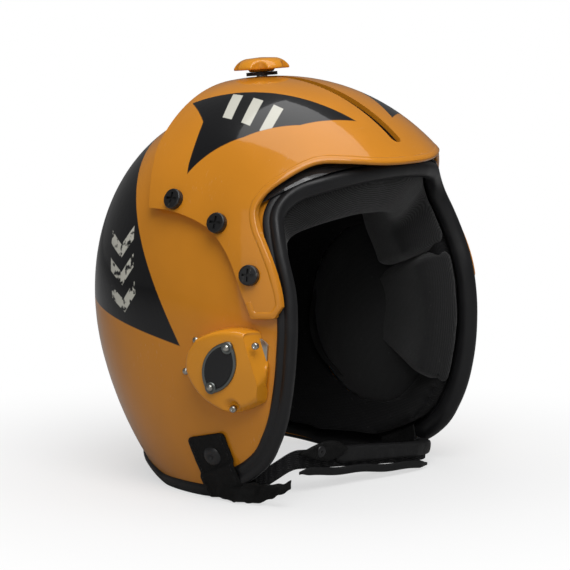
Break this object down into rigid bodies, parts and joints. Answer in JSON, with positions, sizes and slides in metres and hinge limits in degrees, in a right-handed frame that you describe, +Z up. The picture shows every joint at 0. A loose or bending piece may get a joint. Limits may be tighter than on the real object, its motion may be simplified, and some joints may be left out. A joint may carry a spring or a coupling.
{
  "type": "pilot flight helmet",
  "caption": "Open-face flight helmet with a sliding visor under a crown housing, mask receivers, padded liner and a chin strap.",
  "frame": {"origin": "under the middle of the helmet's box, on the surface that the lower rim rests on", "axes": "+Z up, -Y the way the wearer faces, +X to the wearer's left"},
  "size_m": [0.2392, 0.2246, 0.2678],
  "materials": {
    "orange_gloss": "glossy paint over a moulded shell",
    "orange_cast": "glossy paint over a casting",
    "black_rubber": "satin rubber edge roll",
    "black_metal": "black finish, satin",
    "bright_metal": "bare metal",
    "badge_metal": "dark field inside a grey metal rim",
    "smoke_lens": "dark smoke tint, polished",
    "black_plastic": "moulded, matte",
    "black_fabric": "matte knit over foam",
    "liner_foam": "black felt cloth over foam",
    "black_webbing": "woven webbing",
    "black_leather": "soft grained leather"
  },
  "bodies": {
    "helmet": {"outer_shell": "orange_gloss", "visor_housing": "orange_gloss", "face_edge_roll": "black_rubber", "nape_edge_roll": "black_rubber", "housing_screws": "black_metal", "housing_spacers": "bright_metal", "screw_nuts": "bright_metal", "visor_centre_track": "black_plastic", "receiver_screws": "bright_metal", "receiver_rivets": "bright_metal", "badge_rivets": "bright_metal", "brow_pad": "black_fabric", "crown_pad": "black_fabric", "nape_pad": "black_fabric", "energy_liner": "liner_foam", "tab_snaps": "black_metal", "chin_strap": "black_webbing", "chin_sleeve": "black_leather", "strap_flap": "black_leather", "strap_snap": "black_metal", "visor_side_track_left": "black_plastic", "visor_side_track_right": "black_plastic", "receiver_plate_left": "bright_metal", "receiver_plate_right": "bright_metal", "receiver_cover_left": "orange_cast", "receiver_cover_right": "orange_cast", "receiver_catch_left": "bright_metal", "receiver_catch_right": "bright_metal", "badge_plate_left": "badge_metal", "badge_plate_right": "badge_metal", "ear_cup_left": "black_plastic", "ear_cup_right": "black_plastic", "earphone_left": "black_plastic", "earphone_right": "black_plastic", "ear_pad_left": "black_fabric", "ear_pad_right": "black_fabric", "strap_tab_left": "black_leather", "strap_tab_right": "black_leather"},
    "visor": {"visor_lens": "smoke_lens", "visor_slide_block": "black_plastic", "knob_stud": "bright_metal", "knob_washer": "black_plastic"},
    "knob": {"visor_knob": "orange_cast"}
  },
  "joints": [
    {"name": "visor_swing", "type": "hinge", "parent": "helmet", "child": "visor", "pos_m": [0, -0.002, 0.106], "axis": [1, 0, 0], "range_deg": [0, 44]},
    {"name": "knob_turn", "type": "hinge", "parent": "visor", "child": "knob", "pos_m": [0, 0.01132, 0.25822], "axis": [0, 0.0872, 0.9962], "range_deg": [0, 90]}
  ]
}
